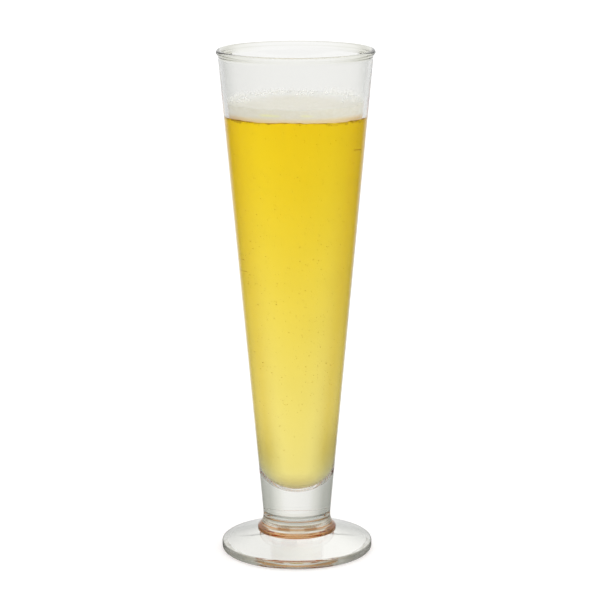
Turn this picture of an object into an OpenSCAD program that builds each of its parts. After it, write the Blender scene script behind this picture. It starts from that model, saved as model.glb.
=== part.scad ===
// Footed pilsner glass, filled with lager and topped with a thin foam head.
// The origin is on the standing plane, on the axis of the glass, and +Z is up.

/* [Glass] */
// Height from the standing plane to the top of the rim
glass_h = 234.3; // [200:0.5:260]
// Height of the joint where the bowl is fused to the foot
joint_h = 17.2; // [15.5:0.1:24]
// Outer radius of the glass at the joint
neck_r = 15.7; // [13:0.1:16.3]
// Rounding of both edges at the joint, which leaves a fine groove round the neck
seam_round = 0.3; // [0.2:0.05:0.6]

/* [Bowl] */
// Outer radius that the tapered wall reaches at the rim
bowl_rim_r = 35.35; // [30:0.05:40]
// Wall thickness at the rim
rim_wall = 1.65; // [1.2:0.05:2.2]
// How far the rounded bead of the rim stands out from the wall
bead_proud = 0.65; // [0.3:0.05:0.9]
// Radius of the hollow blend under the bead
bead_blend = 1.5; // [0.8:0.1:3]
// Height of the bottom of the cavity
cavity_h = 29; // [25:0.5:50]
// Wall thickness, measured level, where the taper reaches the bottom of the cavity
base_wall = 5; // [3:0.1:7]

/* [Foot] */
// Outer radius of the foot
foot_r = 35; // [30:0.5:42]
// Height at which the cone of the foot's top meets its outer edge
edge_h = 4.2; // [3.5:0.1:6]
// Rounding of the upper outer edge
edge_top_round = 1; // [0.5:0.1:1.5]
// Rounding of the lower outer edge
edge_low_round = 1.5; // [0.8:0.1:2]
// Height at which the cone of the foot's top meets the ring
crown_h = 9.4; // [8:0.1:11]
// Outer radius of the low ring at the bottom of the neck
ring_r = 18.3; // [17.5:0.1:19.5]
// Height from the cone up to the start of the ring's rounding
ring_rise = 1.1; // [0.6:0.1:1.4]
// Rounding of the ring's upper edge
ring_round = 0.8; // [0.4:0.1:1.2]
// Radius of the hollow blend between the neck and the ring
neck_blend = 7.3; // [5:0.1:7.6]
// Radius of the hollow under the foot, where it meets the standing plane
hollow_r = 31; // [28:0.5:32]
// Slope of the hollow's outer part, in degrees
hollow_tilt = 16; // [10:0.5:17]
// Radius of the flatter roof in the middle of the hollow
roof_r = 13; // [10:0.5:20]
// How much the roof rises to its middle
roof_rise = 0.6; // [0.3:0.1:1]

/* [Drink] */
// Free depth left between the top of the rim and the foam
headspace = 23.8; // [10:0.1:80]
// Thickness of the foam head
foam_t = 6.5; // [2:0.5:15]

/* [Hidden] */
$fn = 128;

// Overrun of cuts past the surfaces that they open
over = 1;

// Outer wall of the bowl, a straight taper from the joint to the rim
outer_slope = (bowl_rim_r - neck_r) / (glass_h - joint_h);
outer_tilt = atan(outer_slope);
function outer_r(h) = neck_r + outer_slope * (h - joint_h);

// Inner wall, a straight taper that ends on a ball tangent to it
inner_rim_r = bowl_rim_r - rim_wall;
inner_low_r = outer_r(cavity_h) - base_wall;
inner_slope = (inner_rim_r - inner_low_r) / (glass_h - cavity_h);
inner_tilt = atan(inner_slope);
function inner_r(h) = inner_low_r + inner_slope * (h - cavity_h);
ball_r = inner_low_r * cos(inner_tilt) / (1 - sin(inner_tilt));
ball_h = cavity_h + ball_r;
tangent_h = ball_h - ball_r * sin(inner_tilt);

// Rim bead, round, tangent to the inner wall and to the level of the top
bead_r = (rim_wall + bead_proud) * cos(inner_tilt) / (1 + cos(inner_tilt) - sin(inner_tilt));
bead_x = bowl_rim_r + bead_proud - bead_r;
bead_h = glass_h - bead_r;
touch_x = bead_x - bead_r * cos(inner_tilt);
touch_h = bead_h + bead_r * sin(inner_tilt);

// Hollow blend under the bead, tangent to the bead and to the outer wall
bead_sunk = (outer_r(bead_h) - bead_x) * cos(outer_tilt);
blend_out = bead_blend + bead_sunk;
blend_down = sqrt(pow(bead_blend + bead_r, 2) - pow(blend_out, 2));
bead_blend_x = bead_x + blend_out * cos(outer_tilt) - blend_down * sin(outer_tilt);
bead_blend_h = bead_h - blend_out * sin(outer_tilt) - blend_down * cos(outer_tilt);
wall_end_x = bead_blend_x - bead_blend * cos(outer_tilt);
wall_end_h = bead_blend_h + bead_blend * sin(outer_tilt);

// Ring and blend at the bottom of the neck
ring_x = ring_r - ring_round;
ring_h = crown_h + ring_rise;
neck_blend_x = neck_r + neck_blend;
neck_blend_h = ring_h + sqrt(pow(neck_blend + ring_round, 2) - pow(neck_blend_x - ring_x, 2));

// Cone of the foot's top
cone_tilt = atan((crown_h - edge_h) / (foot_r - ring_r));
edge_round_x = foot_r - edge_top_round;
edge_round_h = edge_h + edge_top_round * (tan(cone_tilt) - 1 / cos(cone_tilt));

// Hollow under the foot, a wide cone with a roof that is part of a large ball
roof_h = (hollow_r - roof_r) * tan(hollow_tilt);
roof_ball_r = (pow(roof_r, 2) + pow(roof_rise, 2)) / (2 * roof_rise);
roof_facets = 720;

// The drink's levels hang from the rim
foam_h = glass_h - headspace;
beer_h = foam_h - foam_t;

// Everything outside a round at [x, h], from a tilted normal to the level one
// side is 1 for an upper edge and -1 for a lower edge
module edge_cut(x, h, round, tilt, side) {
    reach = round + over;
    difference() {
        polygon([
            [x, h],
            [x + reach * sin(tilt), h + side * reach * cos(tilt)],
            [x + reach, h + side * reach],
            [x + reach, h]
        ]);
        translate([x, h])
            circle(round);
    }
}

// Half outline of the space inside the bowl
module cavity_outline() {
    intersection() {
        union() {
            polygon([
                [0, tangent_h],
                [inner_r(tangent_h), tangent_h],
                [inner_r(glass_h + over), glass_h + over],
                [0, glass_h + over]
            ]);
            translate([0, ball_h])
                circle(ball_r);
        }
        square([bowl_rim_r, glass_h + over]);
    }
}

// Half outline of the slice of the cavity between two heights
module fill_outline(low, high) {
    intersection() {
        cavity_outline();
        translate([0, low])
            square([bowl_rim_r, high - low]);
    }
}

module bowl() {
    color([0.86, 0.91, 0.91, 0.35])
        rotate_extrude()
            difference() {
                union() {
                    difference() {
                        polygon([
                            [0, joint_h],
                            [neck_r, joint_h],
                            [wall_end_x, wall_end_h],
                            [bead_blend_x, bead_blend_h],
                            [bead_x, bead_h],
                            [touch_x, touch_h],
                            [0, touch_h]
                        ]);
                        translate([bead_blend_x, bead_blend_h])
                            circle(bead_blend);
                    }
                    translate([bead_x, bead_h])
                        circle(bead_r);
                }
                cavity_outline();
                edge_cut(neck_r - seam_round, joint_h + seam_round, seam_round, 0, -1);
            }
}

// Half outline of the hollow under the foot, a cone with its tip cut off by the ball
module hollow_outline() {
    intersection() {
        polygon([
            [0, -over],
            [hollow_r + over / tan(hollow_tilt), -over],
            [0, hollow_r * tan(hollow_tilt)]
        ]);
        translate([0, roof_h + roof_rise - roof_ball_r])
            circle(roof_ball_r, $fn = roof_facets);
    }
}

module foot() {
    color([0.84, 0.89, 0.89, 0.35])
        rotate_extrude()
            difference() {
                union() {
                    difference() {
                        polygon([
                            [0, 0],
                            [foot_r, 0],
                            [foot_r, edge_h],
                            [ring_r, crown_h],
                            [ring_r, ring_h],
                            [ring_x, ring_h],
                            [neck_blend_x, neck_blend_h],
                            [neck_r, neck_blend_h],
                            [neck_r, joint_h],
                            [0, joint_h]
                        ]);
                        translate([neck_blend_x, neck_blend_h])
                            circle(neck_blend);
                    }
                    translate([ring_x, ring_h])
                        circle(ring_round);
                }
                edge_cut(neck_r - seam_round, joint_h - seam_round, seam_round, 0, 1);
                edge_cut(edge_round_x, edge_round_h, edge_top_round, cone_tilt, 1);
                edge_cut(foot_r - edge_low_round, edge_low_round, edge_low_round, 0, -1);
                hollow_outline();
            }
}

module beer() {
    color([0.95, 0.75, 0.1, 0.8])
        rotate_extrude()
            fill_outline(0, beer_h);
}

module foam_head() {
    color([0.93, 0.92, 0.87])
        rotate_extrude()
            fill_outline(beer_h, foam_h);
}

bowl();
foot();
beer();
foam_head();
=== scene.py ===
import math
import random
import bpy
import bmesh
from mathutils import Matrix, Vector, noise


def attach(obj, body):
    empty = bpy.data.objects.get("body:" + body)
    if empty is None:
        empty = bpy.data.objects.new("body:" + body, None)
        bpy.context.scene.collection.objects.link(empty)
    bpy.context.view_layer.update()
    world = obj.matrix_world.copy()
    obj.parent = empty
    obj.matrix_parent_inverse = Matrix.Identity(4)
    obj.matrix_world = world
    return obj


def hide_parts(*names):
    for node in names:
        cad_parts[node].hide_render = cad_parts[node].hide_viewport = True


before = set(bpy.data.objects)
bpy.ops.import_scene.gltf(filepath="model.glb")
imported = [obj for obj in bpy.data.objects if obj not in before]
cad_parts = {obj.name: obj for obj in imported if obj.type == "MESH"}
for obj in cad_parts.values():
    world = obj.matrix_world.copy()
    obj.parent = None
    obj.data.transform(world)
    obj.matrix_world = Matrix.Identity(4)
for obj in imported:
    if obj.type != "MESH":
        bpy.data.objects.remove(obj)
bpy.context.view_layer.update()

mm = 0.001  # sizes below are in millimetres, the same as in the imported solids
near = 0.2  # how close to a level or to the wall a point counts as on it
endGuard = 0.12  # from each end of a straight to the extra point that keeps its shading flat
white = (1, 1, 1, 1)

glass = {
    "height": 234.3,
    "jointHeight": 17.2,
    "neckRadius": 15.7,
    "seamRound": 0.3,
    "jointGap": 0.012,  # keeps the two fused faces from touching
    "jointInset": 0.3,  # over which each of them draws back to its gap
    "rimRadius": 35.35,  # where the outer taper reaches the top
    "rimWall": 1.65,
    "beadProud": 0.65,
    "beadBlend": 1.5,
    "lipReach": 1.0,  # how far down the inner wall the look of the lip reaches below the outer one
    "cavityHeight": 29.0,
    "baseWall": 5.0,
    "around": 192,  # facets round the axis
    "seamSteps": 6,
    "blendSteps": 8,
    "beadSteps": 28,
    "ballSteps": 24,
}
drink = {
    "headspace": 23.8,  # from the top of the rim down to the foam
    "foamThick": 6.5,
    "gap": 0.02,  # keeps the faces of the drink off those of the glass
    "swell": 0.86,  # how far the beer soaks up into the foam
    "dip": 0.32,  # and how much lower it stands beside the line along the glass
    "dipUneven": 1.3,
    "dipScale": 9,
    "dipWidth": 0.9,
    "creep": 0.95,  # how far the line along the glass stands above the mean level
    "scallop": 0.15,  # more and less of that, in even waves round the glass
    "scallops": 5,
    "lean": 0.2,  # less on the right
    "sides": 0.65,  # and less at both sides
    "wave": 0.35,  # and uneven waves, each with its scale and its share
    "waves": ((3.1, 1), (11, 0.45), (24, 0.5)),
    "flatSteps": 8,  # across the face between beer and foam
}

# tapers and heights that several pieces share
outerSlope = (glass["rimRadius"] - glass["neckRadius"]) / (glass["height"] - glass["jointHeight"])
outerTilt = math.atan(outerSlope)


def outerRadius(h):
    return glass["neckRadius"] + outerSlope * (h - glass["jointHeight"])


innerTop = glass["rimRadius"] - glass["rimWall"]
innerLow = outerRadius(glass["cavityHeight"]) - glass["baseWall"]
innerSlope = (innerTop - innerLow) / (glass["height"] - glass["cavityHeight"])
innerTilt = math.atan(innerSlope)


def innerRadius(h):
    return innerLow + innerSlope * (h - glass["cavityHeight"])


ballRadius = innerLow * math.cos(innerTilt) / (1 - math.sin(innerTilt))
ballHeight = glass["cavityHeight"] + ballRadius
foamTop = glass["height"] - drink["headspace"]
beerTop = foamTop - drink["foamThick"]


def fromAxis(co):
    return math.hypot(co.x, co.y)


def beerRise(co):
    # how much higher than its mean level the beer stands against the glass, round the wall
    around = math.atan2(co.x, -co.y)
    spot = Vector((math.cos(around), math.sin(around), 0))
    wave = sum(share * noise.noise(spot * scale) for scale, share in drink["waves"])
    scallop = drink["scallop"] * math.cos(drink["scallops"] * around)
    lean = drink["lean"] * math.sin(around) + drink["sides"] * math.sin(around) ** 4
    return drink["creep"] + scallop - lean + drink["wave"] * wave


def beerLevel(co):
    # the same away from the glass, where its top and the froth's underside lie
    share = (fromAxis(co) / innerRadius(beerTop)) ** 4
    around = Vector((co.x, co.y, 0)).normalized()
    dip = drink["dip"] * (1 + drink["dipUneven"] * noise.noise(around * drink["dipScale"]))
    return drink["swell"] * (1 - share) + (beerRise(co) - dip) * share


def placeOnWall(vert, h, gap=0.0):
    flat = Vector((vert.co.x, vert.co.y)).normalized() * (innerRadius(h) - gap) * mm
    vert.co = (flat.x, flat.y, h * mm)


class Socket:
    # one output of a shader node, so that maths on it reads as maths
    def __init__(self, tree, link):
        self.tree = tree
        self.link = link

    def __add__(self, other):
        return self.tree.maths("ADD", self, other)

    def __radd__(self, other):
        return self.tree.maths("ADD", other, self)

    def __sub__(self, other):
        return self.tree.maths("SUBTRACT", self, other)

    def __rsub__(self, other):
        return self.tree.maths("SUBTRACT", other, self)

    def __mul__(self, other):
        return self.tree.maths("MULTIPLY", self, other)

    def __rmul__(self, other):
        return self.tree.maths("MULTIPLY", other, self)


class Tree:
    # node tree of a material or of the world
    def __init__(self, owner):
        owner.use_nodes = True
        self.owner = owner
        self.nodes = owner.node_tree.nodes
        self.links = owner.node_tree.links
        self.nodes.clear()

    def add(self, kind, settings, values, out=0):
        node = self.nodes.new(kind)
        for name, value in settings.items():
            setattr(node, name, value)
        for name, value in values.items():
            if isinstance(value, Socket):
                self.links.new(value.link, node.inputs[name])
            else:
                node.inputs[name].default_value = value
        return None if out is None else Socket(self, node.outputs[out])

    def show(self, kind, **shaders):
        self.add(kind, {}, shaders, None)
        return self.owner

    def maths(self, operation, *values):
        return self.add("ShaderNodeMath", {"operation": operation}, dict(enumerate(values)))

    def vectorMaths(self, operation, *values, out="Vector"):
        return self.add("ShaderNodeVectorMath", {"operation": operation}, dict(enumerate(values)), out)

    def ease(self, value, low, high):
        return self.add("ShaderNodeMapRange", {"interpolation_type": "SMOOTHSTEP"}, {
            "Value": value, "From Min": low, "From Max": high})

    def easeOver(self, value, span):
        # the same over a span in millimetres
        return self.ease(value, span[0] * mm, span[1] * mm)

    def between(self, value, span):
        # 1 in the middle of a span of four points, and 0 outside it
        return self.easeOver(value, span[:2]) * (1 - self.easeOver(value, span[2:]))

    def mix(self, share, low, high):
        return self.add("ShaderNodeMix", {"data_type": "RGBA"}, {0: share, 6: low, 7: high}, 2)

    def times(self, colour, tintAndPaintedLight):
        settings = {"data_type": "RGBA", "blend_type": "MULTIPLY"}
        return self.add("ShaderNodeMix", settings, {0: 1.0, 6: colour, 7: tintAndPaintedLight}, 2)

    def bump(self, height, strength, depth):
        return self.add("ShaderNodeBump", {}, {
            "Height": height, "Strength": strength, "Distance": depth * mm})

    def place(self):
        return self.add("ShaderNodeTexCoord", {}, {}, "Object")

    def along(self, vector, axis):
        return self.add("ShaderNodeSeparateXYZ", {}, {0: vector}, axis)

    def noise(self, where, scale, detail=2.0, roughness=0.5):
        return self.add("ShaderNodeTexNoise", {}, {
            "Vector": where, "Scale": scale, "Detail": detail, "Roughness": roughness}, "Fac")

    def facing(self):
        return self.add("ShaderNodeLayerWeight", {}, {"Blend": 0.5}, "Facing")

    def ray(self, kind):
        return self.add("ShaderNodeLightPath", {}, {}, kind)


class Outline:
    # half outline of a round piece, drawn in the XZ plane by a travelling vertex
    def __init__(self, r, h):
        self.bm = bmesh.new()
        self.tip = bmesh.ops.create_vert(self.bm, co=(r * mm, 0, h * mm))["vert"][0]

    def step(self, co):
        self.tip = bmesh.ops.extrude_vert_indiv(self.bm, verts=[self.tip])["verts"][0]
        self.tip.co = co

    def line(self, r, h, steps=1):
        # a short straight is one step, without the extra points
        start = self.tip.co.copy()
        end = Vector((r * mm, 0, h * mm))
        guard = endGuard * mm / (end - start).length
        shares = [guard] + [i / steps for i in range(1, steps)] + [1 - guard, 1]
        for share in shares if guard < 0.3 else [1]:
            self.step(start.lerp(end, share))

    def arc(self, r, h, degrees, steps):
        # turns about (r, h), anticlockwise for a positive angle
        made = bmesh.ops.spin(
            self.bm, geom=[self.tip], cent=(r * mm, 0, h * mm), axis=(0, -1, 0),
            angle=math.radians(degrees), steps=steps)
        self.tip = [g for g in made["geom_last"] if isinstance(g, bmesh.types.BMVert)][0]

    def lathe(self, steps):
        bm = self.bm
        bmesh.ops.spin(
            bm, geom=bm.verts[:] + bm.edges[:], cent=(0, 0, 0), axis=(0, 0, 1),
            angle=2 * math.pi, steps=steps, use_merge=True)
        bmesh.ops.remove_doubles(bm, verts=bm.verts, dist=1e-7)
        bmesh.ops.recalc_face_normals(bm, faces=bm.faces)
        return bm


def finishPiece(name, bm, materials, nodes=()):
    for face in bm.faces:
        face.smooth = True
    mesh = bpy.data.meshes.new(name)
    bm.to_mesh(mesh)
    bm.free()
    piece = bpy.data.objects.new(name, mesh)
    bpy.context.scene.collection.objects.link(piece)
    for material in materials:
        mesh.materials.append(material)
    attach(piece, "root")
    if nodes:
        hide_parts(*nodes)
    print("made", name, len(mesh.polygons), "faces")


def angleTo(fromPoint, toPoint):
    return math.degrees(math.atan2(toPoint[1] - fromPoint[1], toPoint[0] - fromPoint[0]))


# Materials

glassFinish = {
    "index": 1.52,
    "beerIndex": 1.34,
    "lipIndex": 1.25,  # lower, so that no dark line stands in the bead
    "lipRoughness": 0.08,
    "waves": 70.0,  # scale of the faint waves of the mould
    "waveStrength": 0.6,
    "waveDepth": 0.015,
    "smears": 160.0,  # and of the trace of handling
    "smearsAt": (0.62, 0.9),
    "smearRoughness": 0.03,
    "backClear": (12.8, 13.4, 18.6, 19.1),  # where the back of the neck is as clear as the stem
    "backFrom": (0, 4),  # how far behind the axis that sets in
    "ballShade": (0.60, 0.53, 0.37, 1),  # round the bottom of the cavity
    "ballShadeReach": 7,
}
glassTintAndPaintedLight = {
    # light left by glass that is seen square on, aslant and edge on, and the facing values where these
    # follow; besides the glass's own faint tint these hold painted shade, darker towards the edges and over
    # the waist and neck, and painted reflection, the beer's orange in the flare, collar, heel and brim
    "lip": {
        "square": (0.95, 0.95, 0.93, 1), "aslant": (0.88, 0.88, 0.83, 1), "edge": (0.62, 0.62, 0.55, 1),
        "aslantAt": (0.05, 0.30), "edgeAt": (0.30, 0.60),
    },
    "dry": {
        "square": (0.95, 0.95, 0.935, 1), "aslant": (0.93, 0.93, 0.915, 1), "edge": (0.80, 0.81, 0.79, 1),
        "aslantAt": (0.05, 0.30), "edgeAt": (0.36, 0.75),
    },
    "wall": {
        "square": (0.95, 0.95, 0.935, 1), "aslant": (0.93, 0.93, 0.915, 1), "edge": (0.78, 0.77, 0.60, 1),
        "aslantAt": (0.05, 0.30), "edgeAt": (0.36, 0.75),
    },
    "stem": {
        "square": (0.96, 0.955, 0.94, 1), "aslant": (0.86, 0.86, 0.80, 1), "edge": (0.32, 0.33, 0.29, 1),
        "aslantAt": (0.02, 0.06), "edgeAt": (0.05, 0.42),
    },
    "waist": {
        "square": (0.42, 0.46, 0.44, 1), "aslant": (0.50, 0.54, 0.51, 1), "edge": (0.32, 0.33, 0.29, 1),
        "aslantAt": (0.02, 0.08), "edgeAt": (0.08, 0.42),
    },
    "neck": {
        "square": (0.53, 0.57, 0.55, 1), "aslant": (0.60, 0.64, 0.61, 1), "edge": (0.36, 0.37, 0.31, 1),
        "aslantAt": (0.02, 0.08), "edgeAt": (0.08, 0.45),
    },
    "flare": {
        "square": (0.53, 0.47, 0.34, 1), "aslant": (0.72, 0.69, 0.58, 1), "edge": (0.33, 0.29, 0.22, 1),
        "aslantAt": (0.06, 0.12), "edgeAt": (0.28, 0.60),
    },
    "collar": {
        "square": (0.52, 0.19, 0.05, 1), "aslant": (0.47, 0.17, 0.04, 1), "edge": (0.12, 0.026, 0.003, 1),
        "aslantAt": (0.10, 0.25), "edgeAt": (0.15, 0.50),
    },
    "heel": {
        "square": (0.40, 0.12, 0.03, 1), "aslant": (0.42, 0.16, 0.045, 1), "edge": (0.11, 0.026, 0.004, 1),
        "aslantAt": (0.10, 0.25), "edgeAt": (0.15, 0.50),
    },
    "plate": {
        "square": (0.94, 0.935, 0.89, 1), "aslant": (0.94, 0.935, 0.88, 1), "edge": (0.22, 0.23, 0.21, 1),
        "aslantAt": (0.30, 0.50), "edgeAt": (0.50, 0.82),
    },
    "hollow": {
        "square": (0.84, 0.84, 0.81, 1), "aslant": (0.84, 0.84, 0.81, 1), "edge": (0.27, 0.28, 0.26, 1),
        "aslantAt": (0.30, 0.50), "edgeAt": (0.50, 0.82),
    },
    "brim": {
        "square": (0.46, 0.35, 0.22, 1), "aslant": (0.40, 0.36, 0.29, 1), "edge": (0.26, 0.26, 0.24, 1),
        "aslantAt": (0.02, 0.15), "edgeAt": (0.15, 0.50),
    },
    "rim": {
        "square": (0.84, 0.84, 0.77, 1), "aslant": (0.33, 0.33, 0.27, 1), "edge": (0.26, 0.26, 0.24, 1),
        "aslantAt": (0.02, 0.10), "edgeAt": (0.15, 0.45),
    },
}
glassZones = {
    # the tints with painted light of each glass from the bottom up, and the heights over which one passes
    # into the next
    "wallGlass": ("waist", (18.5, 19.1), "stem", (27.0, 74.0), "wall", (203.0, 206.0), "dry"),
    "lipGlass": ("lip",),
    "plateGlass": ("hollow", (4.3, 4.6), "plate"),
    "rimGlass": ("rim", (3.0, 3.5), "brim", (3.95, 4.3), "plate"),
    "collarGlass": ("heel", (9.7, 10.3), "collar", (11.4, 12.0), "flare", (14.8, 15.8), "neck"),
}
caughtLight = {
    "bright": (0.54, 0.42, 0.27, 1),  # light caught low in the flare, in front and behind
    "dark": (0.28, 0.15, 0.055, 1),  # and shade between its patches
    "brightAt": (11.8, 12.2, 12.7, 13.4),
    "darkAt": (12.0, 12.6, 13.6, 14.6),
    "patches": 8,  # round the flare
    "uneven": 110.0,
    "litAt": (0.2, 0.9),
    "sideAt": (0.68, 0.86),  # where the sides begin, which have no patches
    "lift": 0.7,  # how much higher the orange reaches there
}


# mixes the painted shade and painted reflections of one look by facing
def paintedSlantLight(tree, facing, name):
    look = glassTintAndPaintedLight[name]
    nearer = tree.mix(tree.ease(facing, *look["aslantAt"]), look["square"], look["aslant"])
    return tree.mix(tree.ease(facing, *look["edgeAt"]), nearer, look["edge"])


def roundTheFlare(tree, where):
    # a wave round the axis, 1 in front, and the share of a point in the two sides
    turn = tree.maths("ARCTAN2", tree.along(where, "X"), 0 - tree.along(where, "Y"))
    wave = tree.maths("COSINE", turn * caughtLight["patches"])
    side = tree.maths("ABSOLUTE", tree.maths("SINE", turn))
    return wave, tree.ease(side, *caughtLight["sideAt"])


def clearGlass(name, index=glassFinish["index"], roughness=0.0, caught=False):
    # pressed glass, its faint tint mixed with painted shade and painted reflections by height and slant
    finish = glassFinish
    zones = glassZones[name]
    tree = Tree(bpy.data.materials.new(name))
    facing = tree.facing()
    where = tree.place()
    height = tree.along(where, "Z")
    if caught:
        wave, side = roundTheFlare(tree, where)
        height = height - side * caughtLight["lift"] * mm
    tintAndPaintedLight = paintedSlantLight(tree, facing, zones[0])
    for span, look in zip(zones[1::2], zones[2::2]):
        tintAndPaintedLight = tree.mix(tree.easeOver(height, span), tintAndPaintedLight, paintedSlantLight(tree, facing, look))
    behind = tree.easeOver(tree.along(where, "Y"), finish["backFrom"])
    behind *= tree.between(height, finish["backClear"])
    tintAndPaintedLight = tree.mix(behind, tintAndPaintedLight, paintedSlantLight(tree, facing, "stem"))
    if caught:
        uneven = tree.noise(where, caughtLight["uneven"], 1.0)
        lit = tree.ease(wave + uneven, *caughtLight["litAt"])
        shown = (1 - side) * (1 - behind)
        bright = lit * shown * tree.between(height, caughtLight["brightAt"])
        dark = (1 - lit) * shown * tree.between(height, caughtLight["darkAt"])
        tintAndPaintedLight = tree.mix(dark, tree.mix(bright, tintAndPaintedLight, caughtLight["bright"]), caughtLight["dark"])
    waves = tree.noise(where, finish["waves"], 1.0)
    smears = tree.noise(where, finish["smears"], 3.0)
    surface = tree.add("ShaderNodeBsdfPrincipled", {}, {
        "Base Color": tintAndPaintedLight,
        "Roughness": roughness + tree.ease(smears, *finish["smearsAt"]) * finish["smearRoughness"],
        "IOR": index,
        "Transmission Weight": 1.0,
        "Normal": tree.bump(waves, finish["waveStrength"], finish["waveDepth"]),
    })
    return tree.show("ShaderNodeOutputMaterial", Surface=surface)


def innerFace(name, index, shade=white):
    # a face between glass and something else, shaded only round the bottom of the cavity
    tree = Tree(bpy.data.materials.new(name))
    low = glass["cavityHeight"]
    clear = tree.easeOver(tree.along(tree.place(), "Z"), (low, low + glassFinish["ballShadeReach"]))
    surface = tree.add("ShaderNodeBsdfPrincipled", {}, {
        "Base Color": tree.mix(clear, shade, white),
        "Roughness": 0.0,
        "IOR": index,
        "Transmission Weight": 1.0,
    })
    return tree.show("ShaderNodeOutputMaterial", Surface=surface)


lagerLook = {
    "absorb": (0.5, 5.2, 51.0),  # per metre of beer
    "density": 60.0,
    "low": (1.0, 0.98, 1.0, 1),
    "high": (0.985, 0.91, 0.20, 1),  # deeper gold where the glass is widest
    "span": (70.0, 210.0),
    # painted shade: seen edge on, towards its sides, the beer turns darker and deeper gold
    "edge": (0.89, 0.81, 0.48, 1),
    "edgeAt": (0.06, 0.32),
    "sideShadeFrom": (32.0, 50.0),  # heights over which that painted shade sets in
    "grain": 1300.0,  # the finest bubbles, and clouds of them
    "grainAt": (0.56, 0.72),
    "clouds": 45.0,
    "cloudsAt": (0.4, 0.75),
    "grainShare": 0.6,
    "cloudShare": 0.4,
    "cloudTint": (0.93, 0.92, 0.86, 1),
}


def lagerMaterial():
    look = lagerLook
    tree = Tree(bpy.data.materials.new("lager"))
    where = tree.place()
    height = tree.along(where, "Z")
    depth = tree.mix(tree.easeOver(height, look["span"]), look["low"], look["high"])
    # painted shade towards the sides of the beer, seen edge on, above the ball
    aside = tree.ease(tree.facing(), *look["edgeAt"]) * tree.easeOver(height, look["sideShadeFrom"])
    tintAndPaintedLight = tree.mix(aside, depth, tree.times(depth, look["edge"]))
    grain = tree.ease(tree.noise(where, look["grain"]), *look["grainAt"])
    clouds = tree.ease(tree.noise(where, look["clouds"]), *look["cloudsAt"])
    haze = grain * look["grainShare"] + clouds * look["cloudShare"]
    surface = tree.add("ShaderNodeBsdfPrincipled", {}, {
        "Base Color": tree.mix(haze, tintAndPaintedLight, tree.times(tintAndPaintedLight, look["cloudTint"])),
        "Roughness": 0.0,
        "IOR": 1.0,
        "Transmission Weight": 1.0,
    })
    inside = tree.add("ShaderNodeVolumeAbsorption", {}, {
        "Color": (*(1 - a / look["density"] for a in look["absorb"]), 1),
        "Density": look["density"],
    })
    return tree.show("ShaderNodeOutputMaterial", Surface=surface, Volume=inside)


frothLook = {
    "top": (0.915, 0.89, 0.80, 1),
    "shade": (0.86, 0.83, 0.72, 1),  # between its bubbles
    "cells": 900.0,
    "cellSmoothness": 0.3,
    "cellShare": 0.7,
    "patches": 190.0,
    "patchShare": 0.6,
    "patchHeight": 0.5,
    "pitsAt": (0.35, 0.85),
    "pitStrength": 0.35,
    "pitDepth": 0.2,
    "roughness": 0.35,
    "pitRoughness": 0.3,
    "softness": 0.2,
    "softDepth": 0.002,  # metres
    "softColour": (1.0, 0.95, 0.85),
    "coarse": (0.96, 0.955, 0.92, 1),  # larger bubbles, along the back wall
    "coarseBand": (22, 1),  # mm from the wall
    "coarseBack": (-12, 16),
    "coarseWander": 4,
    "slow": 50.0,
    "veil": (0.94, 0.93, 0.56, 1),  # light from the beer, low on its side
    "veilAt": 4.3,  # mm above the mean level of the beer
    "veilShown": (0.5, 0.65),
    "soaked": (0.93, 0.74, 0.38, 1),  # where beer stands in it
    "soakedShadedSide": (0.70, 0.44, 0.13, 1),  # deeper at both sides: painted shade over the soaked colour
    "soakedFrom": 1.1,
    "soakedTo": 3.6,
    "sideFrom": (16.0, 31.0),
}


def frothMaterial():
    look = frothLook
    tree = Tree(bpy.data.materials.new("froth"))
    where = tree.place()
    height = tree.along(where, "Z")
    cells = tree.add("ShaderNodeTexVoronoi", {"feature": "SMOOTH_F1"}, {
        "Vector": where, "Scale": look["cells"], "Smoothness": look["cellSmoothness"]}, "Distance")
    patches = tree.noise(where, look["patches"], 4.0, 0.6)
    slow = tree.noise(where, look["slow"])
    pits = tree.ease(cells * look["cellShare"] + patches * look["patchShare"], *look["pitsAt"])
    colour = tree.mix(pits, look["top"], look["shade"])

    out = tree.vectorMaths("LENGTH", tree.vectorMaths("MULTIPLY", where, (1, 1, 0)), out="Value")
    wall = innerRadius(foamTop)
    band = [wall - reach for reach in look["coarseBand"]]
    coarse = tree.easeOver(out + slow * look["coarseWander"] * mm, band)
    back = tree.easeOver(tree.along(where, "Y"), look["coarseBack"])
    coarse *= back * tree.easeOver(height, (foamTop - 1, foamTop))
    colour = tree.mix(coarse, colour, look["coarse"])

    veilHeight = beerTop + look["veilAt"]
    veil = tree.between(height, (veilHeight - 1, veilHeight, veilHeight, veilHeight + 1))
    colour = tree.mix(veil * tree.ease(slow, *look["veilShown"]), colour, look["veil"])

    dry = tree.easeOver(height, (beerTop + look["soakedFrom"], beerTop + look["soakedTo"]))
    # painted shade: the soaked band turns deeper orange towards both sides
    aside = tree.along(where, "X")
    aside = tree.ease(aside * aside, *((x * mm) ** 2 for x in look["sideFrom"]))
    soaked = tree.mix(aside, look["soaked"], look["soakedShadedSide"])
    bubbles = (1 - cells) + patches * look["patchHeight"]
    surface = tree.add("ShaderNodeBsdfPrincipled", {}, {
        "Base Color": tree.mix(1 - dry, colour, soaked),
        "Roughness": look["roughness"] + pits * look["pitRoughness"],
        "Normal": tree.bump(bubbles, look["pitStrength"], look["pitDepth"]),
        "Subsurface Weight": look["softness"],
        "Subsurface Scale": look["softDepth"],
        "Subsurface Radius": look["softColour"],
    })
    return tree.show("ShaderNodeOutputMaterial", Surface=surface)


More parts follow.
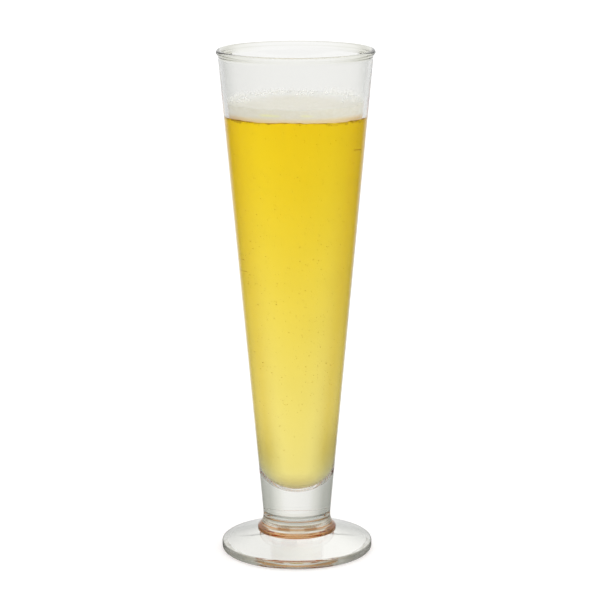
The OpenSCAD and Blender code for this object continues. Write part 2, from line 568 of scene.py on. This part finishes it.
bubbleLooks = {
    # two tones that change from place to place, the noise value between them, and the roughness
    "wallBubbles": {
        "dark": (0.93, 0.93, 0.90, 1), "light": (1.0, 1.0, 0.985, 1), "share": 0.45, "roughness": 0.3,
        "body": 0.4, "glow": 0.09,  # body lets some light through; glow is painted light, an even glow in place of light that the glass keeps from them
    },
    "fizz": {"dark": (0.78, 0.63, 0.17, 1), "light": (0.97, 0.88, 0.42, 1), "share": 0.56, "roughness": 0.1},
    "scum": {"dark": (0.46, 0.29, 0.07, 1), "light": (0.84, 0.66, 0.26, 1), "share": 0.5, "roughness": 0.2},
}
bubbleTones = {"scale": 260.0, "edge": 0.06, "roughness": 0.1}


def bubbleMaterial(name):
    look = bubbleLooks[name]
    tree = Tree(bpy.data.materials.new(name))
    chance = tree.noise(tree.place(), bubbleTones["scale"], 1.0)
    tone = tree.ease(chance, look["share"] - bubbleTones["edge"], look["share"] + bubbleTones["edge"])
    values = {
        "Base Color": tree.mix(tone, look["dark"], look["light"]),
        "Roughness": look["roughness"] + chance * bubbleTones["roughness"],
    }
    if "body" in look:
        values["Alpha"] = chance * look["body"]
        # painted light: the emission stands in for light that the glass keeps from these bubbles
        values["Emission Color"] = look["light"]
        values["Emission Strength"] = look["glow"]
    surface = tree.add("ShaderNodeBsdfPrincipled", {}, values)
    return tree.show("ShaderNodeOutputMaterial", Surface=surface)


wallGlass = clearGlass("wallGlass")
lipGlass = clearGlass("lipGlass", glassFinish["lipIndex"], glassFinish["lipRoughness"])
plateGlass = clearGlass("plateGlass")
rimGlass = clearGlass("rimGlass")
collarGlass = clearGlass("collarGlass", caught=True)
wetGlass = innerFace("wettedGlass", glassFinish["index"] / glassFinish["beerIndex"], glassFinish["ballShade"])
fusedGlass = innerFace("fusedJoint", 1.0)
lager = lagerMaterial()
froth = frothMaterial()
wallBubbles = bubbleMaterial("wallBubbles")
fizz = bubbleMaterial("fizz")
scum = bubbleMaterial("scum")
print("made the materials")

# Pieces


def atJoint(middle):
    # whether a face with this middle is one of the two that are fused
    level = abs(middle.z - glass["jointHeight"]) < glass["jointGap"] * 1.1
    return level and fromAxis(middle) < glass["neckRadius"] - glass["seamRound"]


def makeBowl():
    g = glass
    seam = g["seamRound"]
    beadRadius = (g["rimWall"] + g["beadProud"]) * math.cos(innerTilt)
    beadRadius /= 1 + math.cos(innerTilt) - math.sin(innerTilt)
    bead = (g["rimRadius"] + g["beadProud"] - beadRadius, g["height"] - beadRadius)
    blendOut = g["beadBlend"] + (outerRadius(bead[1]) - bead[0]) * math.cos(outerTilt)
    blendDown = math.sqrt((g["beadBlend"] + beadRadius) ** 2 - blendOut ** 2)
    blend = (
        bead[0] + blendOut * math.cos(outerTilt) - blendDown * math.sin(outerTilt),
        bead[1] - blendOut * math.sin(outerTilt) - blendDown * math.cos(outerTilt))
    wallEnd = (
        blend[0] - g["beadBlend"] * math.cos(outerTilt),
        blend[1] + g["beadBlend"] * math.sin(outerTilt))
    wallSide = 180 - math.degrees(outerTilt)
    towardBead = angleTo(blend, bead)
    innerSide = 180 - math.degrees(innerTilt)
    lipLow = wallEnd[1] - g["lipReach"]

    outline = Outline(0, g["jointHeight"] + g["jointGap"])
    outline.line(g["neckRadius"] - seam - g["jointInset"], g["jointHeight"] + g["jointGap"])
    outline.line(g["neckRadius"] - seam, g["jointHeight"])
    outline.arc(g["neckRadius"] - seam, g["jointHeight"] + seam, 90, g["seamSteps"])
    outline.line(*wallEnd)
    outline.arc(*blend, towardBead - wallSide, g["blendSteps"])
    outline.arc(*bead, innerSide - (towardBead - 180), g["beadSteps"])
    outline.line(innerRadius(lipLow), lipLow)
    outline.line(innerRadius(beerTop), beerTop)
    outline.line(ballRadius * math.cos(innerTilt), ballHeight - ballRadius * math.sin(innerTilt))
    outline.arc(0, ballHeight, math.degrees(innerTilt) - 90, g["ballSteps"])
    bm = outline.lathe(g["around"])
    for vert in bm.verts:
        co = vert.co / mm
        if abs(co.z - beerTop) < near and fromAxis(co) < innerRadius(beerTop) + near:
            placeOnWall(vert, co.z + beerRise(co))

    slots = [wallGlass, wetGlass, fusedGlass, lipGlass]
    for face in bm.faces:
        middle = face.calc_center_median() / mm
        inside = fromAxis(middle) < innerRadius(middle.z) + near
        if middle.z > wallEnd[1]:
            face.material_index = slots.index(lipGlass)
        elif inside and g["cavityHeight"] < middle.z < beerTop + beerRise(middle):
            face.material_index = slots.index(wetGlass)
        elif atJoint(middle):
            face.material_index = slots.index(fusedGlass)
    finishPiece("glass_bowl", bm, slots, ["bowl"])


foot = {
    "radius": 35.0,
    "edgeHeight": 4.2,
    "topRound": 1.0,
    "lowRound": 1.5,
    "crownHeight": 9.4,
    "ringRadius": 18.3,
    "ringRound": 0.8,
    "ringRise": 1.1,  # from the cone up to where the ring's round begins
    "neckBlend": 7.3,
    "hollowRadius": 31.0,
    "hollowTilt": 16.0,  # degrees
    "hollowEdge": 0.3,  # half the width of the facet where the hollow meets the standing plane
    "roofRadius": 13.0,  # the flatter middle of the hollow
    "roofRise": 0.6,
    "rimBand": 1.2,  # how far in from its edge the look of the rim reaches
    "restBand": 0.02,  # what lies lower is the face it stands on
    "edgeSteps": 8,
    "neckSteps": 16,
}


def makeFoot():
    f = foot
    g = glass
    seam = g["seamRound"]
    coneTilt = math.atan((f["crownHeight"] - f["edgeHeight"]) / (f["radius"] - f["ringRadius"]))
    edge = (
        f["radius"] - f["topRound"],
        f["edgeHeight"] + f["topRound"] * (math.tan(coneTilt) - 1 / math.cos(coneTilt)))
    ring = (f["ringRadius"] - f["ringRound"], f["crownHeight"] + f["ringRise"])
    blendX = g["neckRadius"] + f["neckBlend"]
    reach = math.sqrt((f["neckBlend"] + f["ringRound"]) ** 2 - (blendX - ring[0]) ** 2)
    blend = (blendX, ring[1] + reach)
    towardBlend = angleTo(ring, blend)

    slope = math.tan(math.radians(f["hollowTilt"]))
    roof = (f["hollowRadius"] - f["roofRadius"]) * slope
    roofBall = (f["roofRadius"] ** 2 + f["roofRise"] ** 2) / (2 * f["roofRise"])
    roofTurn = -math.degrees(math.asin(f["roofRadius"] / roofBall))

    outline = Outline(0, roof + f["roofRise"])
    outline.arc(0, roof + f["roofRise"] - roofBall, roofTurn, f["edgeSteps"])
    outline.line(f["hollowRadius"] - f["hollowEdge"], f["hollowEdge"] * slope)
    outline.line(f["hollowRadius"] + f["hollowEdge"], 0)
    outline.line(f["radius"] - f["lowRound"], 0)
    outline.arc(f["radius"] - f["lowRound"], f["lowRound"], 90, f["edgeSteps"])
    outline.line(f["radius"], edge[1])
    outline.arc(*edge, 90 - math.degrees(coneTilt), f["edgeSteps"])
    outline.line(f["ringRadius"], f["crownHeight"])
    outline.line(f["ringRadius"], ring[1])
    outline.arc(*ring, towardBlend, f["edgeSteps"])
    outline.arc(*blend, -towardBlend, f["neckSteps"])
    outline.line(g["neckRadius"], g["jointHeight"] - seam)
    outline.arc(g["neckRadius"] - seam, g["jointHeight"] - seam, 90, g["seamSteps"])
    outline.line(g["neckRadius"] - seam - g["jointInset"], g["jointHeight"] - g["jointGap"])
    outline.line(0, g["jointHeight"] - g["jointGap"])
    bm = outline.lathe(g["around"])

    slots = [plateGlass, fusedGlass, rimGlass, collarGlass]
    for face in bm.faces:
        middle = face.calc_center_median() / mm
        if atJoint(middle):
            face.material_index = slots.index(fusedGlass)
        elif fromAxis(middle) > f["radius"] - f["rimBand"] and middle.z > f["restBand"]:
            face.material_index = slots.index(rimGlass)
        elif middle.z > f["crownHeight"] and fromAxis(middle) > g["neckRadius"] - seam:
            face.material_index = slots.index(collarGlass)
    finishPiece("glass_foot", bm, slots, ["foot"])


def makeBeer():
    gap = drink["gap"]
    outline = Outline(0, ballHeight - (ballRadius - gap))
    outline.arc(0, ballHeight, 90 - math.degrees(innerTilt), glass["ballSteps"])
    outline.line(innerRadius(beerTop) - gap, beerTop)
    outline.line(innerRadius(beerTop) - gap - drink["dipWidth"], beerTop)
    outline.line(0, beerTop, drink["flatSteps"])
    bm = outline.lathe(glass["around"])
    for vert in bm.verts:
        co = vert.co / mm
        if abs(co.z - beerTop) < near and fromAxis(co) > innerRadius(beerTop) - near:
            placeOnWall(vert, co.z + beerRise(co), innerRadius(co.z) - fromAxis(co))
        elif abs(co.z - beerTop) < near:
            vert.co.z += beerLevel(co) * mm
    finishPiece("beer_fill", bm, [lager], ["beer"])


foam = {
    "swell": 0.30,  # height of the slow waves of its top
    "swellScale": 0.22,
    "ripple": 0.16,
    "rippleScale": 0.9,
    "climb": 0.9,  # how far it creeps up the wall
    "climbMean": 0.6,  # share of that which is even, and share which is not
    "climbUneven": 0.4,
    "climbScale": 0.35,
    "climbWidth": 1.3,
    "levelBand": 0.01,  # how close to its top or its underside a point counts as on it
    "sideSteps": 6,
    "topSteps": 26,
}


def makeFoam():
    # one froth body, its underside fitted to the beer and its top uneven
    gap = drink["gap"]
    low = beerTop + gap
    outline = Outline(0, low)
    outline.line(innerRadius(low) - gap - drink["dipWidth"], low, drink["flatSteps"])
    outline.line(innerRadius(low) - gap, low)
    outline.line(innerRadius(foamTop) - gap, foamTop, foam["sideSteps"])
    outline.line(0, foamTop, foam["topSteps"])
    bm = outline.lathe(glass["around"])
    for vert in bm.verts:
        co = vert.co / mm
        fromWall = innerRadius(co.z) - gap - fromAxis(co)
        climb = foam["climbMean"] + foam["climbUneven"] * noise.noise(co * foam["climbScale"])
        if fromWall < near:
            share = (co.z - low) / (foamTop - low)
            h = co.z + (1 - share) * beerRise(co) + share * (foam["climb"] * climb)
            placeOnWall(vert, h, gap + fromWall)
        elif co.z < low + foam["levelBand"]:
            vert.co.z += beerLevel(co) * mm
        elif co.z > foamTop - foam["levelBand"]:
            swell = foam["swell"] * noise.noise(co * foam["swellScale"])
            swell += foam["ripple"] * noise.noise(co * foam["rippleScale"])
            climb = foam["climb"] * math.exp(-fromWall / foam["climbWidth"]) * climb
            vert.co.z += (climb + swell) * mm
    finishPiece("foam_layer", bm, [froth], ["foam_head"])


def scatterBalls(spots, fine=False):
    # one small ball, copied to each (turn, out, height, radius)
    bm = bmesh.new()
    if fine:
        bmesh.ops.create_uvsphere(bm, u_segments=10, v_segments=6, radius=mm)
    else:
        bmesh.ops.create_icosphere(bm, subdivisions=1, radius=mm)
    ball = bm.verts[:] + bm.edges[:] + bm.faces[:]
    first = bm.verts[:]
    for turn, out, h, radius in spots:
        made = bmesh.ops.duplicate(bm, geom=ball)["geom"]
        verts = [g for g in made if isinstance(g, bmesh.types.BMVert)]
        place = Matrix.Translation(Vector((out * math.cos(turn), out * math.sin(turn), h)) * mm)
        bmesh.ops.transform(bm, matrix=place @ Matrix.Scale(radius, 4), verts=verts)
    bmesh.ops.delete(bm, geom=first)
    return bm


clinging = {
    "seed": 11,
    "count": 60,
    "radius": (0.8, 1.7),
    "smallest": 0.6,  # share of that radius
    "past": 0.15,  # how far past the back half of the wall they reach, in radians
    "crowding": 1.7,
    "low": 0.2,  # from the foam up to the lowest of them
    "top": 3.6,  # how high they climb
    "gap": 0.05,
}


def makeWallBubbles():
    # larger bubbles that cling to the glass above the foam
    pick = random.Random(clinging["seed"])
    spots = []
    for i in range(clinging["count"]):
        radius = pick.uniform(*clinging["radius"]) * pick.uniform(clinging["smallest"], 1)
        turn = pick.uniform(-clinging["past"], math.pi + clinging["past"])
        around = Vector((math.cos(turn), math.sin(turn), 2))
        crowd = 0.5 + 0.5 * noise.noise(around * clinging["crowding"])
        h = foamTop + clinging["low"] + clinging["top"] * crowd * pick.random()
        spots.append((turn, innerRadius(h) - radius - clinging["gap"], h, radius))
    finishPiece("foam_bubbles", scatterBalls(spots, True), [wallBubbles])


pearls = {
    "seed": 5,
    "count": 70,
    "radius": (0.5, 1.3),
    "smallest": 0.5,
    "past": 0.25,
    "inset": 1.2,  # from the wall to their band
    "band": 9.0,
    "raised": 0.3,  # share of its radius that the middle of one stands above the froth
}


def makePearls():
    # small bubbles that stand half out of the froth, along the back wall
    pick = random.Random(pearls["seed"])
    spots = []
    for i in range(pearls["count"]):
        radius = pick.uniform(*pearls["radius"]) * pick.uniform(pearls["smallest"], 1)
        out = innerRadius(foamTop) - pearls["inset"] - pearls["band"] * pick.random() ** 2
        turn = pick.uniform(-pearls["past"], math.pi + pearls["past"])
        spots.append((turn, out, foamTop + pearls["raised"] * radius, radius))
    finishPiece("foam_pearls", scatterBalls(spots, True), [wallBubbles])


rising = {
    "seed": 23,
    "count": 900,
    "onWall": 0.6,  # share of them that cling to the glass
    "radius": (0.08, 0.20),
    "upward": 0.7,  # below 1, so that more of them are high up
    "below": 2,  # from the beer's top down to the highest
    "gap": 0.1,
    "streams": 16,  # strings of bubbles that rise along the glass
    "inStream": (8, 22),
    "startBelow": 30,  # from the beer's top down to the highest start, and to the highest end
    "endBelow": 1,
    "spacing": (1.1, 3.4),
    "growth": (1.0, 1.06),
    "wander": 0.5,
    "streamGap": 0.2,
}


def makeFizz():
    r = rising
    pick = random.Random(r["seed"])
    low = ballHeight
    spots = []
    for i in range(r["count"]):
        radius = pick.uniform(*r["radius"])
        h = low + (beerTop - r["below"] - low) * pick.random() ** r["upward"]
        out = innerRadius(h) - radius - r["gap"]
        if pick.random() > r["onWall"]:
            out *= math.sqrt(pick.random())
        spots.append((pick.uniform(0, 2 * math.pi), out, h, radius))
    for i in range(r["streams"]):
        turn = pick.uniform(0, 2 * math.pi)
        h = pick.uniform(low, beerTop - r["startBelow"])
        radius = r["radius"][0]
        for j in range(pick.randint(*r["inStream"])):
            radius *= pick.uniform(*r["growth"])
            h += pick.uniform(*r["spacing"])
            turn += pick.uniform(-r["wander"], r["wander"]) / innerRadius(h)
            if h < beerTop - r["endBelow"]:
                spots.append((turn, innerRadius(h) - radius - r["streamGap"], h, radius))
    finishPiece("beer_bubbles", scatterBalls(spots), [fizz])


beerLine = {
    "seed": 31,
    "count": 420,
    "radius": (0.12, 0.32),
    "shown": 0.25,  # share of the line that holds them, and how much more at both sides
    "sides": 0.4,
    "patchy": 0.7,
    "patches": 2.3,
    "gap": 0.1,
    "depth": 0.9,  # how far below the line they reach
    "wallGap": 0.08,
}


def makeScum():
    # small bubbles caught where beer, foam and glass meet
    b = beerLine
    pick = random.Random(b["seed"])
    spots = []
    while len(spots) < b["count"]:
        turn = pick.uniform(0, 2 * math.pi)
        around = Vector((math.cos(turn), math.sin(turn), 0))
        shown = b["shown"] + b["sides"] * math.cos(turn) ** 2
        if pick.random() < shown + b["patchy"] * noise.noise(around * b["patches"] + Vector((0, 0, 5))):
            radius = pick.uniform(*b["radius"])
            h = beerTop + beerRise(around) - radius - b["gap"] - b["depth"] * pick.random() ** 2
            spots.append((turn, innerRadius(h) - radius - b["wallGap"], h, radius))
    finishPiece("beer_line_bubbles", scatterBalls(spots), [scum])


makeBowl()
makeFoot()
makeBeer()
makeFizz()
makeScum()
makeFoam()
makePearls()
makeWallBubbles()

# Studio

camera = {
    "focal": 2411.0,  # in pixels of the frame
    "frame": 600,
    "sensor": 36,
    "pitch": 12.39,  # degrees down
    "distance": 1084.0,
    "height": 356.8,
    "aside": 1.7,
    "roll": -0.13,
    "reach": 50,  # metres
}


def makeCamera():
    c = camera
    lens = bpy.data.cameras.new("camera")
    lens.sensor_width = c["sensor"]
    lens.lens = c["focal"] * c["sensor"] / c["frame"]
    lens.clip_end = c["reach"]
    eye = bpy.data.objects.new("camera", lens)
    bpy.context.scene.collection.objects.link(eye)
    eye.location = Vector((c["aside"], -c["distance"], c["height"])) * mm
    tilt = Matrix.Rotation(math.radians(90 - c["pitch"]), 4, "X")
    roll = Matrix.Rotation(math.radians(c["roll"]), 4, "Z")
    eye.rotation_euler = (tilt @ roll).to_euler()
    bpy.context.scene.camera = eye


studio = {
    "front": 0.06,  # brightness of the room in front, where the photographer stands
    "frontAt": (0.7, 1.02),  # how far back it reaches
    "frontTop": (0.0, 0.3),  # and how far up
    "left": 0.93,  # brightness of the white backdrop to the left and to the right
    "right": 1.05,
    "acrossAt": (-0.5, 0.5),
    "floor": (0.8, 0.8, 0.8, 1),
    "floorGlow": 0.34,
    "floorSides": 96,
    "floorRadius": 6.0,  # metres
    "floorDepth": 0.0001,  # keeps it off the standing face
}


def studioLevel(tree, toward):
    # light that reaches glass from the side that the vector points to, and whether a mirrored ray asks for it
    mirrored = tree.ray("Is Glossy Ray") * tree.ray("Is Reflection Ray")
    toward = tree.vectorMaths("NORMALIZE", toward)
    across = tree.ease(tree.along(toward, "X"), *studio["acrossAt"])
    sides = studio["left"] + across * (studio["right"] - studio["left"])
    sides += mirrored * (1 - sides)
    front = 1 - tree.ease(tree.along(toward, "Y"), *studio["frontAt"])
    front *= 1 - tree.ease(tree.along(toward, "Z"), *studio["frontTop"])
    return mirrored, sides * (1 - mirrored * front * (1 - studio["front"]))


def makeFloor():
    bm = bmesh.new()
    bmesh.ops.create_circle(bm, cap_ends=True, segments=studio["floorSides"], radius=studio["floorRadius"])
    bmesh.ops.translate(bm, verts=bm.verts, vec=(0, 0, -studio["floorDepth"]))
    mesh = bpy.data.meshes.new("floor")
    bm.to_mesh(mesh)
    bm.free()
    floor = bpy.data.objects.new("floor", mesh)
    bpy.context.scene.collection.objects.link(floor)
    tree = Tree(bpy.data.materials.new("floor"))
    mirrored, level = studioLevel(tree, tree.place())
    inGlass = tree.ray("Is Transmission Ray") + mirrored
    paper = tree.add("ShaderNodeBsdfDiffuse", {}, {"Color": studio["floor"]})
    glow = tree.add("ShaderNodeEmission", {}, {"Color": white, "Strength": studio["floorGlow"]})
    plain = tree.add("ShaderNodeAddShader", {}, {0: paper, 1: glow})
    clean = tree.add("ShaderNodeEmission", {}, {"Color": white, "Strength": level})
    shown = tree.add("ShaderNodeMixShader", {}, {0: inGlass, 1: plain, 2: clean})
    mesh.materials.append(tree.show("ShaderNodeOutputMaterial", Surface=shown))


def makeWorld():
    world = bpy.data.worlds.new("studio")
    bpy.context.scene.world = world
    tree = Tree(world)
    seen = tree.ray("Is Camera Ray")
    level = studioLevel(tree, tree.add("ShaderNodeTexCoord", {}, {}, "Generated"))[1]
    sky = tree.add("ShaderNodeBackground", {}, {
        "Color": white, "Strength": seen + (1 - seen) * level})
    tree.show("ShaderNodeOutputWorld", Surface=sky)


makeCamera()
makeFloor()
makeWorld()
print("made the studio")

bounces = 64  # a ray crosses many faces of glass

bpy.context.scene.view_settings.view_transform = "Standard"
bpy.context.scene.cycles.max_bounces = bounces
bpy.context.scene.cycles.transmission_bounces = bounces
bpy.context.scene.cycles.glossy_bounces = bounces
bpy.context.scene.cycles.transparent_max_bounces = bounces
bpy.context.scene.cycles.blur_glossy = 0

print("scene done")
